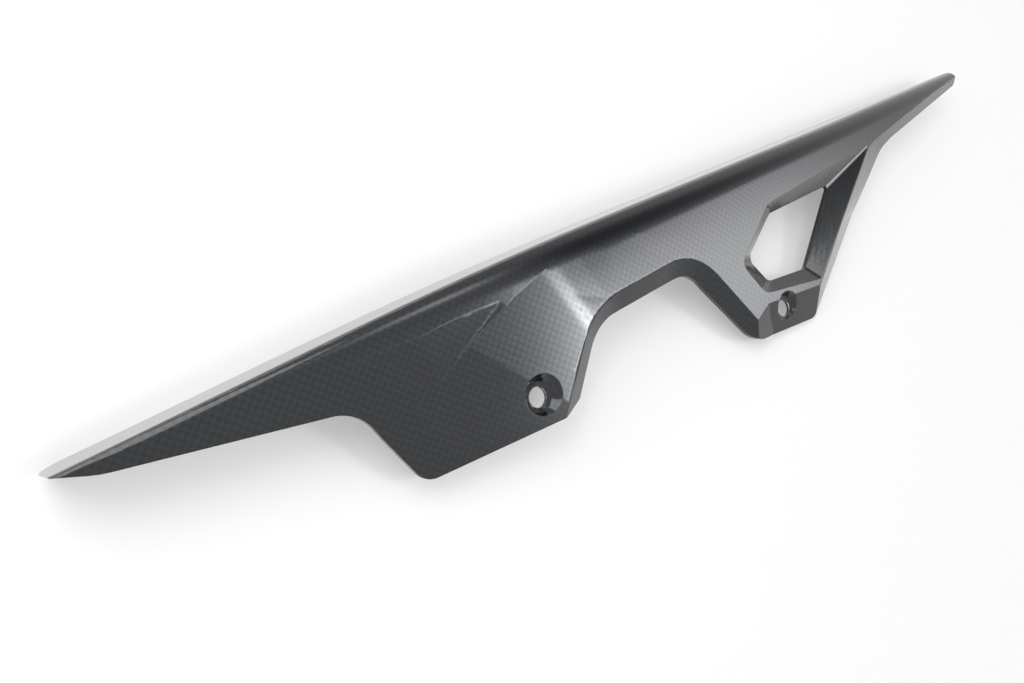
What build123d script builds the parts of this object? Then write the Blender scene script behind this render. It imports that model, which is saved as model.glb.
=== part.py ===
from build123d import *
import os
from math import atan2, cos, degrees, radians, sin, tan

# Motorcycle chain guard: one carbon-fibre moulding of even thickness, in millimetres.
# It is drawn with the side face level: X runs rearwards along the guard, Y up towards
# the rail and Z outwards along the bolts, and the flat rear half of the side face lies
# at Z = 0. At the end the guard is laid down as it comes to rest on a bench, outer side
# up, with the front bolt hole at the origin.

# Laminate
wall = 2.0

# Rail: the rounded edge between the side face and the top flange
front_end = -183.0
rear_end = 411.0
rail_crown_height = 60.5
rail_front_slope = 0.018
rail_rear_slope = -0.042
rail_crown_start = -70.0
rail_crown_end = 70.0
rail_tail_slope = -0.028
rail_tail_start = 225.0
rail_tail_end = 300.0
rail_inner_radius_front = 0.8
rail_inner_radius_rear = 6.0
rail_stations = 14

# Sweep of the front half, in towards the wheel
sweep_slope = 0.116
sweep_start = -30.0
sweep_end = 60.0

# Top flange
flange_depth = 30.0
flange_draft = 3.2
flange_taper_start = 262.0
tail_flange_depth = 5.0
flange_corner_radius = 9.0
flange_taper_radius = 120.0
sweep_radius = 700.0

# Front tab outline: (x, y, direction in degrees) of each straight edge
front_tip_edge = (-174.0, 54.2, -24.0)
front_edge = (-150.0, 47.5, -12.9)
tab_front_edge = (-68.0, 9.6, -69.5)
tab_bottom_edge = (-25.0, -13.0, -4.2)
tab_end_edge = (15.8, -14.0, 15.3)
front_edge_radius = 20.0
tab_bottom_radius = 9.0
front_tip_radius = 1.5
front_rise_radius = 40.0

# Rear tab outline
rear_edge = (228.9, -23.0, 30.2)
rear_bottom_edge = (170.0, -40.6, -8.3)
rear_heel_radius = 18.0
rear_bottom_radius = 6.0

# Notch between the tabs, edged by a flange turned inwards along a crease
notch_front_crease = (26.9, 9.8, 38.5)
notch_top_crease = (76.0, 24.4, 0.0)
notch_rear_crease = (137.3, -13.2, -63.5)
notch_front_radius = 50.0
notch_rear_radius = 31.0
notch_flange_slope = 30.0
notch_front_edge = (31.8, -1.0, 50.5)
notch_top_edge = (76.0, 15.4, 0.0)
notch_rear_edge = (127.5, -12.8, -61.7)
notch_end_radius = 2.5
notch_front_edge_radius = 25.0
notch_rear_edge_radius = 17.0

# Rear edge and tail, edged by a shallower flange
rear_crease = (210.0, -22.0, 33.1)
tail_crease = (300.0, 30.5, 6.7)
tail_edge = (300.0, 23.4, 6.9)
rim_slope = 30.0
rim_corner_radius = 25.0
rim_edge_radius = 60.0
tail_tip_radius = 2.5

# Bolts: one in the front tab, one in the rear tab, each in a dished recess
bolt_hole_radius = 4.6
front_bolt = (1.8, -1.4)
rear_bolt = (170.3, -28.8)
seat_radius = 6.4
seat_step = 0.8
front_seat_z = -8.0
front_recess_radius = 7.0
front_recess_slope = 47.0
rear_seat_z = -4.1
rear_recess_radius = 6.9
rear_recess_slope = 64.0

# Roundings of the outer creases
notch_crease_radius = 2.0
rim_crease_radius = 1.0
blade_crease_radius = 2.0

# Boss above the front bolt, turned down from the side face along a ridge
ridge_top = (28.5, 49.5)
ridge_foot = (38.5, 19.0)

# Blade: the crease that runs forward from its tip above the sunken front tab
blade_tip = (6.0, 44.0)
blade_knee = (-40.0, 46.5)
blade_front = (-113.0, 53.0)
blade_return = (-22.0, 34.0)
blade_middle = (-20.0, 45.3)
blade_lean = 0.2

# Front tab, falling forwards and downwards from the boss
tab_sweep = 0.175
tab_lean = 0.075

# Window in the rear tab: a funnel of five sloping walls around the opening
pocket_corners = ((289.0, 29.4), (182.0, 27.0), (146.5, 5.5), (156.0, -15.0), (203.0, -25.0))
pocket_radii = (1.0, 14.0, 6.0, 9.0, 5.0)
window_corners = ((245.5, 19.0), (187.0, 21.0), (158.0, 5.0), (167.0, -11.5), (199.5, -16.5))
window_radii = (1.5, 9.0, 5.0, 6.0, 4.0)
window_depth = 5.0
pocket_wall_slope = 30.0

# Facet turned down at the foot of the rear tab
facet_hinge = (181.2, -24.7, -9.0)
facet_heel = (143.2, -24.9, 19.5)
facet_slope = 19.0

# Bench: the upward direction when the guard lies at rest, in the drawing's frame
bench_up = (-0.0463, 0.2644, 1.0)

# Reach of the cutting tools past the part
reach = 60.0
clearance = 0.8
cutting_depth = 22.0
far_below = (0.0, -110.0, 0.0)


def bend(x, start, end, slope_before, slope_after):
    # Height along a straight, a parabola from start to end and a second straight
    if x < start:
        return slope_before * (x - start)
    in_bend = min(x, end) - start
    turned = (slope_after - slope_before) * in_bend**2 / (2 * (end - start))
    return slope_before * in_bend + turned + slope_after * max(0.0, x - end)


def rail_height(x):
    crown = (rail_crown_start, rail_crown_end, rail_front_slope, rail_rear_slope)
    tail_rise = bend(x, rail_tail_start, rail_tail_end, 0.0, rail_tail_slope - rail_rear_slope)
    return rail_crown_height + bend(x, *crown) - bend(0.0, *crown) + tail_rise


def face_level(x):
    sweep = (sweep_start, sweep_end, sweep_slope, 0.0)
    return bend(x, *sweep) - bend(rear_end, *sweep)


def meet(line_a, line_b, margin_a=0.0, margin_b=0.0):
    # Crossing of two lines, each moved to the right of its direction by its margin
    ends = []
    for (x, y, direction), margin in ((line_a, margin_a), (line_b, margin_b)):
        turn = radians(direction)
        foot = Vector(x + margin * sin(turn), y - margin * cos(turn))
        ends.append((foot, Vector(cos(turn), sin(turn))))
    (foot_a, run_a), (foot_b, run_b) = ends
    gap = foot_b - foot_a
    travel = (gap.X * run_b.Y - gap.Y * run_b.X) / (run_a.X * run_b.Y - run_a.Y * run_b.X)
    return foot_a + run_a * travel


def corner_shift(slope, inset):
    # Sideways move of the crease between a level face and a slope, both inset
    return inset * tan(radians(slope / 2))


def raised_shift(slope, inset):
    # The same, followed up the slope to the clearance above the face
    return corner_shift(slope, inset) + (clearance + inset) / tan(radians(slope))


def leaning_plane(point, level, rise_x, rise_y, inset):
    # Plane through a point of the outer skin, rising by rise_x and rise_y per millimetre
    surface = Plane(origin=(point[0], point[1], level), x_dir=(1, 0, rise_x), z_dir=(-rise_x, -rise_y, 1))
    return surface.offset(-inset)


def hinged_plane(hinge, slope, inset):
    # Plane through a line of the level face, rising to the left of the line's direction
    x, y, direction = hinge
    rise = tan(radians(slope))
    return leaning_plane((x, y), 0, -rise * sin(radians(direction)), rise * cos(radians(direction)), inset)


def covered_block(inset):
    # Everything under the rail and the side face, from past one end to past the other
    first = front_end - reach / 3
    last = rear_end + reach / 3
    with BuildPart() as block:
        for station in range(rail_stations + 1):
            x = first + (last - first) * station / rail_stations
            blend = (x - front_end) / (rear_end - front_end)
            radius = rail_inner_radius_front + (rail_inner_radius_rear - rail_inner_radius_front) * blend
            level = face_level(x) - inset
            edge = rail_height(x) + inset * tan(radians(flange_draft)) - inset / cos(radians(flange_draft))
            flare = (reach + level) * tan(radians(flange_draft))
            with BuildSketch(Plane(origin=(x, 0, 0), x_dir=(0, 1, 0), z_dir=(1, 0, 0))):
                with BuildLine():
                    FilletPolyline(
                        (edge + flare, -reach), (edge, level), (-reach, level), (-reach, -reach),
                        radius=(0, radius + wall - inset, 0, 0), close=True)
                make_face()
        loft()
    return block.part


def on_face(x, y):
    return Vector(x, y, face_level(x))


def boss_cutter(inset):
    # Space above the boss, left of its ridge and right of the blade's return
    top = on_face(*ridge_top)
    foot = on_face(*ridge_foot)
    turn = Vector(*blade_return, blade_level(*blade_return, blade_knee, blade_tip))
    boss = Plane(origin=turn, x_dir=foot - turn, z_dir=(foot - turn).cross(top - turn)).offset(-inset)
    with BuildPart() as cutter:
        with BuildSketch():
            with BuildLine():
                Polyline(
                    blade_tip, ridge_top, (ridge_foot[0] + reach, ridge_top[1]),
                    (ridge_foot[0] + reach, -reach), (-reach, -reach), blade_return, close=True)
            make_face()
        extrude(amount=reach, both=True)
        split(bisect_by=boss)
    return cutter.part


def blade_level(x, y, crease_start, crease_end):
    # Height of the slope that falls from the crease between two of its points
    start_level = face_level(crease_start[0])
    rise = face_level(crease_end[0]) - start_level - blade_lean * (crease_end[1] - crease_start[1])
    rise_x = rise / (crease_end[0] - crease_start[0])
    return start_level + rise_x * (x - crease_start[0]) + blade_lean * (y - crease_start[1])


def blade_plane(crease_start, crease_end, inset):
    level = blade_level(*crease_start, crease_start, crease_end)
    rise_x = blade_level(crease_start[0] + 1, crease_start[1], crease_start, crease_end) - level
    return leaning_plane(crease_start, level, rise_x, blade_lean, inset)


def tab_cutter(crease_start, crease_end, inset):
    # Space above the front tab, below one stretch of the blade crease
    tab_level = blade_level(*blade_return, blade_knee, blade_tip)
    tab_plane = leaning_plane(blade_return, tab_level, tab_sweep, tab_lean, inset)
    with BuildPart() as cutter:
        with BuildSketch():
            with BuildLine():
                Polyline(
                    (reach, reach + rail_crown_height), (reach, -reach),
                    (front_end - reach, -reach), (front_end - reach, reach + rail_crown_height), close=True)
            make_face()
        extrude(amount=reach, both=True)
        split(bisect_by=blade_plane(crease_start, crease_end, inset))
        split(bisect_by=tab_plane)
    return cutter.part


def notch_corners(margin):
    # Corners of the notch, its creases moved into the opening by the margin
    return (
        meet(far_below, notch_front_crease, 0, margin),
        meet(notch_front_crease, notch_top_crease, margin, margin),
        meet(notch_top_crease, notch_rear_crease, margin, margin),
        meet(notch_rear_crease, far_below, margin, 0),
    )


def notch_cutter(inset):
    # Space inside the notch, narrowing inwards along the slope of its flange
    shift = raised_shift(notch_flange_slope, inset)
    with BuildPart() as cutter:
        with BuildSketch(Plane.XY.offset(clearance)):
            with BuildLine():
                FilletPolyline(
                    notch_corners(-shift),
                    radius=(0, notch_front_radius + shift, notch_rear_radius + shift, 0), close=True)
            make_face()
        extrude(amount=-cutting_depth, taper=90 - notch_flange_slope)
    return cutter.part


def rim_corners(margin):
    # Corners of the space outside the rear edge and the tail
    far_behind = (rear_end + 3 * reach, 0, -90)
    return (
        meet(far_below, rear_crease, 0, margin),
        meet(rear_crease, tail_crease, margin, margin),
        meet(tail_crease, far_behind, margin, 0),
        meet(far_behind, far_below),
    )


def rim_cutter(inset):
    # Space outside the rear edge and tail, above the slope of their flange
    shift = raised_shift(rim_slope, inset)
    with BuildPart() as cutter:
        with BuildSketch(Plane.XY.offset(clearance)):
            with BuildLine():
                FilletPolyline(
                    rim_corners(-shift), radius=(0, rim_corner_radius + shift, 0, 0), close=True)
            make_face()
        extrude(amount=-cutting_depth, taper=90 - rim_slope)
    return cutter.part


def facet_cutter(inset):
    # Space above the facet at the foot of the rear tab
    with BuildPart() as cutter:
        with BuildSketch():
            with BuildLine():
                Polyline(
                    (notch_rear_crease[0] - reach, 0), (rear_end, 0), (rear_end, -2 * reach),
                    (notch_rear_crease[0] - reach, -2 * reach), close=True)
            make_face()
        extrude(amount=reach, both=True)
        split(bisect_by=hinged_plane(facet_hinge, facet_slope, inset))
        split(bisect_by=hinged_plane(facet_heel, facet_slope, inset))
    return cutter.part


def pocket_cutter(inset):
    # Funnel around the window, from the side face down to the opening
    drop = inset / cos(radians(pocket_wall_slope))
    stretch = 1 + (clearance + drop) / window_depth
    with BuildPart() as cutter:
        for share, level in ((stretch, clearance), (0, -window_depth - drop)):
            corners = []
            radii = []
            for top, foot in zip(pocket_corners, window_corners):
                corners.append((foot[0] + share * (top[0] - foot[0]), foot[1] + share * (top[1] - foot[1])))
            for top, foot in zip(pocket_radii, window_radii):
                radii.append(foot + share * (top - foot))
            with BuildSketch(Plane.XY.offset(level)):
                with BuildLine():
                    FilletPolyline(corners, radius=radii, close=True)
                make_face()
        loft(ruled=True)
    return cutter.part


def recess_cutter(bolt, seat_z, radius, slope, inset):
    # Dished recess around a bolt
    with BuildPart() as cutter:
        with BuildSketch(Plane.XY.offset(seat_z - inset)):
            with Locations(bolt):
                Circle(radius + corner_shift(slope, inset))
        extrude(amount=reach / 3, taper=slope - 90)
    return cutter.part


def round_crease(form, point, radius):
    # Rounding of the form's crease at that place of the side face
    crease = form.edges().sort_by_distance(on_face(point[0], point[1]))[0]
    fillet(crease, radius)


def covered_form(inset):
    # The block under the whole skin, its surface inset from the outside
    with BuildPart() as form:
        add(covered_block(inset))
        add(boss_cutter(inset), mode=Mode.SUBTRACT)
        add(notch_cutter(inset), mode=Mode.SUBTRACT)
        if inset < notch_crease_radius:
            round_crease(form, notch_top_crease, notch_crease_radius - inset)
        add(tab_cutter(blade_knee, blade_tip, inset), mode=Mode.SUBTRACT)
        add(tab_cutter(blade_front, blade_knee, inset), mode=Mode.SUBTRACT)
        if inset < blade_crease_radius:
            round_crease(form, blade_middle, blade_crease_radius - inset)
        add(facet_cutter(inset), mode=Mode.SUBTRACT)
        add(pocket_cutter(inset), mode=Mode.SUBTRACT)
        add(rim_cutter(inset), mode=Mode.SUBTRACT)
        if inset < rim_crease_radius:
            round_crease(form, rear_crease, rim_crease_radius - inset)
        for bolt, seat_z, radius, slope in (
                (front_bolt, front_seat_z, front_recess_radius, front_recess_slope),
                (rear_bolt, rear_seat_z, rear_recess_radius, rear_recess_slope)):
            add(recess_cutter(bolt, seat_z, radius, slope, inset), mode=Mode.SUBTRACT)
    return form.part


with BuildPart() as moulding:
    add(covered_form(0.0))
    add(covered_form(wall), mode=Mode.SUBTRACT)

    # Trim to the outline of the side face, its notch, rear edge and tail
    front_end_edge = (front_end, 0, -90)
    rear_end_edge = (rear_end, 0, 90)
    with BuildSketch(Plane.XY.offset(-reach)):
        with BuildLine():
            FilletPolyline(
                (front_end, 2 * reach),
                meet(front_end_edge, front_tip_edge),
                meet(front_tip_edge, front_edge),
                meet(front_edge, tab_front_edge),
                meet(tab_front_edge, tab_bottom_edge),
                meet(tab_bottom_edge, tab_end_edge),
                meet(tab_end_edge, notch_front_edge),
                meet(notch_front_edge, notch_top_edge),
                meet(notch_top_edge, notch_rear_edge),
                meet(notch_rear_edge, rear_bottom_edge),
                meet(rear_bottom_edge, rear_edge),
                meet(rear_edge, tail_edge),
                meet(tail_edge, rear_end_edge),
                (rear_end, 2 * reach),
                radius=(
                    0, front_tip_radius, front_rise_radius, front_edge_radius, tab_bottom_radius,
                    tab_bottom_radius, notch_end_radius, notch_front_edge_radius, notch_rear_edge_radius,
                    rear_heel_radius, rear_bottom_radius, rim_edge_radius, tail_tip_radius, 0),
                close=True)
        make_face()
    extrude(amount=2 * reach, mode=Mode.INTERSECT)

    # Trim the top flange to its depth, even along the sweep and tapering along the tail
    with BuildSketch(Plane.XZ.offset(-2 * reach)):
        with BuildLine():
            FilletPolyline(
                (front_end, reach),
                (front_end, face_level(front_end) - flange_depth),
                ((sweep_start + sweep_end) / 2, -flange_depth),
                (flange_taper_start, -flange_depth),
                (rear_end, -tail_flange_depth),
                (rear_end, reach),
                radius=(0, flange_corner_radius, sweep_radius, flange_taper_radius, tail_tip_radius, 0),
                close=True)
        make_face()
    extrude(amount=4 * reach, mode=Mode.INTERSECT)

    # Window
    with BuildSketch(Plane.XY.offset(-reach)):
        with BuildLine():
            FilletPolyline(window_corners, radius=window_radii, close=True)
        make_face()
    extrude(amount=2 * reach, mode=Mode.SUBTRACT)

    # Bolt holes, each with a shallow stepped seat
    for bolt, seat_z in ((front_bolt, front_seat_z), (rear_bolt, rear_seat_z)):
        with Locations((*bolt, seat_z)):
            CounterBoreHole(bolt_hole_radius, seat_radius, seat_step)

# Bench frame: Z up, X along the guard, its origin halfway through the front bolt hole
front_hole_middle = (*front_bolt, front_seat_z - (wall + seat_step) / 2)
bench = Plane(origin=front_hole_middle, x_dir=(1, 0, -bench_up[0]), z_dir=bench_up)

with BuildPart(Plane(bench.location.inverse())) as chain_guard:
    add(moulding.part)

os.makedirs("parts", exist_ok=True)
chain_guard.part.label = "chain_guard"
export_step(chain_guard.part, "parts/chain_guard.step")
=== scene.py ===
import bpy, bmesh, math
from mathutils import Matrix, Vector


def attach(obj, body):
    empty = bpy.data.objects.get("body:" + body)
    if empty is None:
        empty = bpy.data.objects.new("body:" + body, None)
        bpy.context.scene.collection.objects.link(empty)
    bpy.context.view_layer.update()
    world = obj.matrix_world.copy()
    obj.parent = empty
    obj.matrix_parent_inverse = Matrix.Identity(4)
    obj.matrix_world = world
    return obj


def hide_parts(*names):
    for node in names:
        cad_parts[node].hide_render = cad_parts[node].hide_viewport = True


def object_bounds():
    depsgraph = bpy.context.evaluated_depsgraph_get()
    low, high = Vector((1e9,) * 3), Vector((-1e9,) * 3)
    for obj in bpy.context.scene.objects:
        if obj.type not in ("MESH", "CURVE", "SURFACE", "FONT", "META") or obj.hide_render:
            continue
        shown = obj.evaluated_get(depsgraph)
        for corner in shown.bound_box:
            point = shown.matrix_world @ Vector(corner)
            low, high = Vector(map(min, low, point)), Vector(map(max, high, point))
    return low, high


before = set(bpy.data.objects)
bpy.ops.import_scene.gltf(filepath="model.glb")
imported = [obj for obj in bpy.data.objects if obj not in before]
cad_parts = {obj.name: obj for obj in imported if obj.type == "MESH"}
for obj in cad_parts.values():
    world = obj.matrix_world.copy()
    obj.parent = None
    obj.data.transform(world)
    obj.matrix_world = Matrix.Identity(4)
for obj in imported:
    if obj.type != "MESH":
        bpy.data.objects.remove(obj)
cadBox = [list(corner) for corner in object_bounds()]
mm = 0.001


def linear(hexColour):
    # sRGB hex to the linear colour that the shaders take
    parts = [int(hexColour[i:i + 2], 16) / 255 for i in (1, 3, 5)]
    return (*[p / 12.92 if p < 0.04045 else ((p + 0.055) / 1.055) ** 2.4 for p in parts], 1.0)


def addNode(tree, kind, settings=None, **links):
    # One node: settings are its properties, links its inputs, as values or other nodes' outputs
    node = tree.nodes.new(kind)
    for name, value in (settings or {}).items():
        setattr(node, name, value)
    for name, value in links.items():
        key = int(name[1:]) if name[1:].isdigit() else name.replace("_", " ")
        if isinstance(value, bpy.types.NodeSocket):
            tree.links.new(value, node.inputs[key])
        else:
            node.inputs[key].default_value = value
    return node


def newMaterial(name):
    material = bpy.data.materials.new(name)
    material.use_nodes = True
    material.node_tree.nodes.clear()
    return material, material.node_tree


def heading(azimuth, elevation):
    # Unit vector towards a place in the room, angles in degrees
    a, e = math.radians(azimuth), math.radians(elevation)
    return Vector((math.cos(e) * math.cos(a), math.cos(e) * math.sin(a), math.sin(e)))


def mix(start, end, share):
    return start + (end - start) * share


def bend(x, start, end, before, after):
    # Height along a straight, a parabola from start to end and a second straight, as the rail runs
    inBend = min(max(x, start), end) - start
    turned = (after - before) * inBend ** 2 / (2 * (end - start))
    return before * (min(x, end) - start) + turned + after * max(0.0, x - end)


# Camera, at the photograph's place
camera = {"place": (-200.80, -2.48, 346.85), "turn": (19.988, -23.903, -33.644), "lens": 31.64, "sensor": 36,
          "clipStart": 10}
cameraData = bpy.data.cameras.new("camera")
cameraData.lens = camera["lens"]
cameraData.sensor_width = camera["sensor"]
cameraData.clip_start = camera["clipStart"] * mm
cameraObject = bpy.data.objects.new("camera", cameraData)
cameraObject.location = Vector(camera["place"]) * mm
cameraObject.rotation_euler = [math.radians(angle) for angle in camera["turn"]]
bpy.context.scene.collection.objects.link(cameraObject)
bpy.context.scene.camera = cameraObject
print("camera placed")

# The cloth's own directions, and where the bench's origin lies along each of them
cloth = {"along": (0.99893, 0.01181, -0.04472), "across": (0.0, 0.96685, 0.25536),
         "through": (0.04625, -0.25509, 0.96581), "origin": (1.8, -1.4, -9.4)}
along, across, through = [Vector(cloth[name]) for name in ("along", "across", "through")]

# The moulding: a copy of the CAD piece, merged, with its flat triangles dissolved (mm and degrees)
shell = {"mergeWithin": 0.004, "flatWithin": 0.1, "cell": 1.5, "creaseAbove": 17}
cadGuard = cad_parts["chain_guard"]
guard = cadGuard.copy()
guard.data = cadGuard.data.copy()
guard.name = "guardMoulding"
guard.parent = None
bpy.context.scene.collection.objects.link(guard)
bpy.ops.object.select_all(action="DESELECT")
guard.select_set(True)
bpy.context.view_layer.objects.active = guard
bpy.ops.mesh.customdata_custom_splitnormals_clear()
bpy.ops.object.mode_set(mode="EDIT")
bpy.ops.mesh.select_all(action="SELECT")
bpy.ops.mesh.remove_doubles(threshold=shell["mergeWithin"] * mm)
bpy.ops.mesh.dissolve_limited(angle_limit=math.radians(shell["flatWithin"]))
bpy.ops.object.mode_set(mode="OBJECT")

# Even, narrow cells over the moulding, so that each crease turns within a cell
corners = [vertex.co for vertex in guard.data.vertices]
bpy.ops.object.mode_set(mode="EDIT")
for direction in (along, across, through):
    reaches = [corner.dot(direction) / mm for corner in corners]
    cut = math.ceil(min(reaches) / shell["cell"])
    while cut * shell["cell"] < max(reaches):
        bpy.ops.mesh.select_all(action="SELECT")
        bpy.ops.mesh.bisect(plane_co=direction * cut * shell["cell"] * mm, plane_no=direction)
        cut += 1
bpy.ops.object.mode_set(mode="OBJECT")
print("cells cut", len(guard.data.polygons))

# The rail rolls over in an ellipse, long over the side face and short down the flange. The first
# values are its line, as the CAD has it: crown, rise and sweep are bends, corner is the old radius
# at both ends. Over and down are the ellipse's reach at the front, where it is widest and at the rear.
rail = {"front": -183.0, "rear": 411.0, "height": 60.5, "draft": 0.056, "wall": 2.0,
        "crown": (-70.0, 70.0, 0.018, -0.042), "rise": (225.0, 300.0, 0.0, 0.014),
        "sweep": (-30.0, 60.0, 0.116, 0.0), "corner": (2.8, 8.0),
        "widest": 60.0, "over": (3.0, 14.0, 8.1), "down": (3.0, 6.5, 8.1), "onSkin": 0.5,
        "rollFrom": 37, "rollTurn": 34}
crownTop = bend(0, *rail["crown"])
flatLevel = bend(rail["rear"], *rail["sweep"])
normals = [vertex.normal.copy() for vertex in guard.data.vertices]
for vertex, normal in zip(guard.data.vertices, normals):
    x, y, z = [vertex.co.dot(direction) / mm + start
               for direction, start in zip((along, across, through), cloth["origin"])]
    top = rail["height"] + bend(x, *rail["crown"]) - crownTop + bend(x, *rail["rise"])
    down = bend(x, *rail["sweep"]) - flatLevel - z
    over = top + down * rail["draft"] - y
    end, side = (rail["front"], 0) if x < rail["widest"] else (rail["rear"], 2)
    share = min(1.0, (x - rail["widest"]) / (end - rail["widest"]))
    wide = mix(rail["over"][1], rail["over"][side], share)
    tall = mix(rail["down"][1], rail["down"][side], share)
    corner = mix(*rail["corner"], (x - rail["front"]) / (rail["rear"] - rail["front"]))
    depth = min(over, down)
    if max(over, down) < corner:
        depth = corner - math.hypot(corner - over, corner - down)
    outwards = through * (1 - down / tall) + across * (1 - over / wide)
    skin = 0.0 if normal.dot(outwards) > 0 else rail["wall"]
    if over < wide and down < tall and abs(depth - skin) < rail["onSkin"]:
        beyond = math.hypot((wide - over) / (wide - skin), (tall - down) / (tall - skin))
        if beyond > 1:
            newDown = tall - (tall - down) / beyond
            newY = top + newDown * rail["draft"] - wide + (wide - over) / beyond
            vertex.co += (across * (newY - y) - through * (newDown - down)) * mm

# Creases stay sharp, but the rail rolls over smoothly, though its strips turn further than a crease
bpy.ops.object.shade_smooth_by_angle(angle=math.radians(shell["creaseAbove"]))
mesh = bmesh.new()
mesh.from_mesh(guard.data)
for edge in mesh.edges:
    middle = (edge.verts[0].co + edge.verts[1].co) / 2
    turn = edge.calc_face_angle(math.pi)
    if middle.dot(across) > rail["rollFrom"] * mm and turn < math.radians(rail["rollTurn"]):
        edge.smooth = True
mesh.to_mesh(guard.data)
mesh.free()
print("rail rolled")

# The ridge of the boss is rounded: its two slopes meet in a parabola over this width. That runs a
# little past both ends, by the overrun as a share of its length, and touches only faces that look up
ridge = {"top": (27.1, 47.3, 20.3), "foot": (37.1, 17.8, 12.4), "halfWidth": 5.0, "turn": 0.117,
         "overrun": (0.05, 0.1), "facing": 0.5}
ridgeTop, ridgeFoot = [Vector(ridge[name]) * mm for name in ("top", "foot")]
ridgeRun = ridgeFoot - ridgeTop
ridgeSide = through.cross(ridgeRun).normalized()
normals = [vertex.normal.copy() for vertex in guard.data.vertices]
for vertex, normal in zip(guard.data.vertices, normals):
    aside = abs((vertex.co - ridgeTop).dot(ridgeSide)) / mm
    share = (vertex.co - ridgeTop).dot(ridgeRun) / ridgeRun.length_squared
    onRidge = -ridge["overrun"][0] < share < 1 + ridge["overrun"][1]
    if aside < ridge["halfWidth"] and onRidge and normal.dot(through) > ridge["facing"]:
        drop = ridge["turn"] * (ridge["halfWidth"] - aside) ** 2 / (4 * ridge["halfWidth"])
        vertex.co -= through * drop * mm

# The seats of the bolts are dished: the step is drawn into a cone from the hole to the recess
seats = {"feet": ((0.03, -0.15, 0.58), (168.53, -25.65, -10.19)), "holeRadius": 4.6, "stepRadius": 6.4,
         "rimRadius": 7.0, "height": 0.8, "radiusWithin": 0.2, "heightWithin": 0.1}
for place in seats["feet"]:
    foot = Vector(place) * mm
    for vertex in guard.data.vertices:
        reach = vertex.co - foot
        height = reach.dot(through) / mm
        radius = (reach - through * height * mm).length / mm
        onStep = abs(radius - seats["stepRadius"]) < seats["radiusWithin"]
        if onStep and abs(height) < seats["height"] + seats["heightWithin"]:
            share = (radius - seats["holeRadius"]) / (seats["rimRadius"] - seats["holeRadius"])
            vertex.co += through * (seats["height"] * share - height) * mm
print("creases softened")
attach(guard, "root")
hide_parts("chain_guard")
print("moulding ready", len(guard.data.polygons))

# The cloth is laid on as a map in millimetres: from above on the side face, from the side on the walls
weaveMap = guard.data.uv_layers.new(name="weave")
for face in guard.data.polygons:
    rises = abs(face.normal.dot(through))
    side = across if rises > max(abs(face.normal.dot(across)), abs(face.normal.dot(along))) else through
    for loop in face.loop_indices:
        point = guard.data.vertices[guard.data.loops[loop].vertex_index].co
        weaveMap.data[loop].uv = (point.dot(along) / mm, point.dot(side) / mm)
print("cloth laid")

# Carbon laminate, plain weave under clear gloss resin, moulded in a polished mould. The tows are a
# dark satin that shines like dull metal, in two tones that show the weave of 2 mm as a fine check,
# and the resin over them mirrors the room sharply. Edges show a small rounding in their reflections.
laminate = {"tow": 2.0, "bright": "#282b2e", "dark": "#1f2124", "roughness": 0.24, "coatRoughness": 0.07,
            "edge": 0.5, "edgeSamples": 4}
carbon, tree = newMaterial("carbonPlainWeaveClearCoated")
coords = addNode(tree, "ShaderNodeUVMap", {"uv_map": "weave"}).outputs["UV"]
tows = addNode(tree, "ShaderNodeMapping", Vector=coords, Scale=(1 / laminate["tow"],) * 3).outputs[0]
checker = addNode(tree, "ShaderNodeTexChecker", Vector=tows, Color1=linear(laminate["bright"]),
                  Color2=linear(laminate["dark"]), Scale=1.0)
rounded = addNode(tree, "ShaderNodeBevel", {"samples": laminate["edgeSamples"]},
                  Radius=laminate["edge"] * mm).outputs[0]
bsdf = addNode(tree, "ShaderNodeBsdfPrincipled", Normal=rounded, Coat_Normal=rounded,
               Base_Color=checker.outputs["Color"], Metallic=1.0, Roughness=laminate["roughness"],
               Coat_Weight=1.0, Coat_Roughness=laminate["coatRoughness"])
addNode(tree, "ShaderNodeOutputMaterial", Surface=bsdf.outputs[0])
guard.data.materials.clear()
guard.data.materials.append(carbon)
print("finish ready")

# Floor, a plain pale sheet whose own emission paints light into the shadows on it, so that they stay faint
floorData = {"size": 40.0, "colour": "#bcbcbc", "glow": 0.65, "roughness": 0.9, "specular": 0.1}
bpy.ops.object.select_all(action="DESELECT")
bpy.ops.mesh.primitive_plane_add(size=floorData["size"], location=(0, 0, cadBox[0][2]))
floor = bpy.context.object
floor.name = "floor"
paper, tree = newMaterial("mattePaperWithPaintedFillGlow")
bsdf = addNode(tree, "ShaderNodeBsdfPrincipled", Base_Color=linear(floorData["colour"]),
               Roughness=floorData["roughness"], Specular_IOR_Level=floorData["specular"],
               Emission_Color=linear(floorData["colour"]), Emission_Strength=floorData["glow"])
addNode(tree, "ShaderNodeOutputMaterial", Surface=bsdf.outputs[0])
floor.data.materials.append(paper)

# Light: a pale room, a softbox with a hot middle beyond the rear end, a far window low behind the
# rail, a weak lamp overhead and a dark side. Widths are in degrees, and edge is how sharp they end.
room = {"colour": "#ffffff", "strength": 0.86}
roomLamps = {
    "softbox": {"azimuth": -35, "elevation": 41, "turn": 57, "across": 6.8, "along": 18.9,
                "radiance": 4.8, "edge": 6.0},
    "hotMiddle": {"azimuth": -37.5, "elevation": 47.2, "turn": 0, "across": 5.2, "along": 5.2,
                  "radiance": 18.5, "edge": 2.0},
    "farWindow": {"azimuth": 75, "elevation": 2, "turn": 0, "across": 32, "along": 8,
                  "radiance": 2.2, "edge": 4.0},
    "overhead": {"azimuth": 35, "elevation": 63, "turn": 0, "across": 6.5, "along": 6.5,
                 "radiance": 3.0, "edge": 2.0},
    "darkSide": {"azimuth": 8, "elevation": 44, "turn": 0, "across": 17, "along": 12,
                 "radiance": -0.62, "edge": 3.0}}
world = bpy.data.worlds.new("paleRoom")
world.use_nodes = True
bpy.context.scene.world = world
tree = world.node_tree
tree.nodes.clear()

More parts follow.
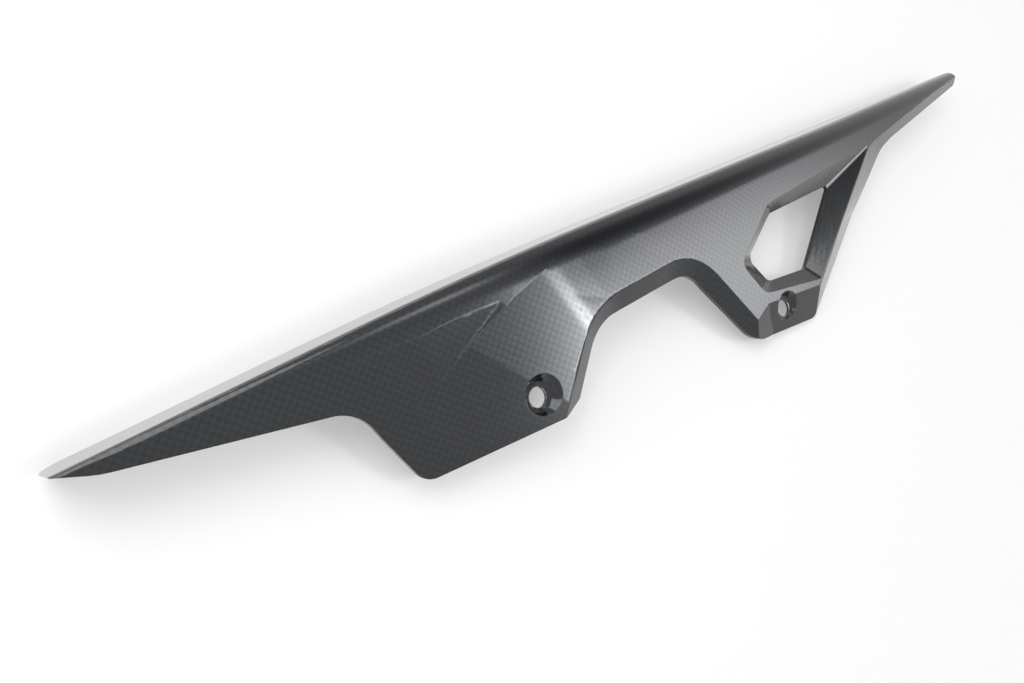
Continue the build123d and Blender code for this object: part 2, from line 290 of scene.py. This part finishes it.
towards = addNode(tree, "ShaderNodeTexCoord").outputs["Generated"]


def maths(operation, *values):
    # One step of the lamps' arithmetic
    inputs = {"i" + str(place): value for place, value in enumerate(values)}
    return addNode(tree, "ShaderNodeMath", {"operation": operation}, **inputs).outputs[0]


def runAlong(axis):
    # How far a direction in the room runs along an axis
    return addNode(tree, "ShaderNodeVectorMath", {"operation": "DOT_PRODUCT"}, i0=towards,
                   i1=axis).outputs["Value"]


# Each lamp falls off from its middle as an ellipse, and only on its own side of the room
strength = room["strength"]
for lamp in roomLamps.values():
    middle = heading(lamp["azimuth"], lamp["elevation"])
    level = heading(lamp["azimuth"] + 90, 0)
    steep = middle.cross(level)
    cosine, sine = math.cos(math.radians(lamp["turn"])), math.sin(math.radians(lamp["turn"]))
    width = runAlong((cosine * level + sine * steep) / math.radians(lamp["across"]))
    length = runAlong((cosine * steep - sine * level) / math.radians(lamp["along"]))
    distance = maths("ADD", maths("MULTIPLY", width, width), maths("MULTIPLY", length, length))
    glow = maths("POWER", 1 / math.e, maths("POWER", distance, lamp["edge"] / 2))
    ahead = maths("GREATER_THAN", runAlong(middle), 0.0)
    strength = maths("MULTIPLY_ADD", maths("MULTIPLY", glow, ahead), lamp["radiance"], strength)
background = addNode(tree, "ShaderNodeBackground", Color=linear(room["colour"]), Strength=strength)
addNode(tree, "ShaderNodeOutputWorld", Surface=background.outputs[0])

# One lamp by the window, near the far edge of the table, brightens the floor there
windowLight = {"aim": (40, 150, 0), "azimuth": 128, "elevation": 45, "distance": 700, "size": 700,
               "radiance": 2.6}
towardsWindow = heading(windowLight["azimuth"], windowLight["elevation"])
lightData = bpy.data.lights.new("windowLight", "AREA")
lightData.size = windowLight["size"] * mm
lightData.energy = windowLight["radiance"] * math.pi * lightData.size ** 2
light = bpy.data.objects.new("windowLight", lightData)
light.location = (Vector(windowLight["aim"]) + towardsWindow * windowLight["distance"]) * mm
light.rotation_euler = towardsWindow.to_track_quat("Z", "Y").to_euler()
bpy.context.scene.collection.objects.link(light)
bpy.context.scene.view_settings.view_transform = "Standard"
print("light ready")
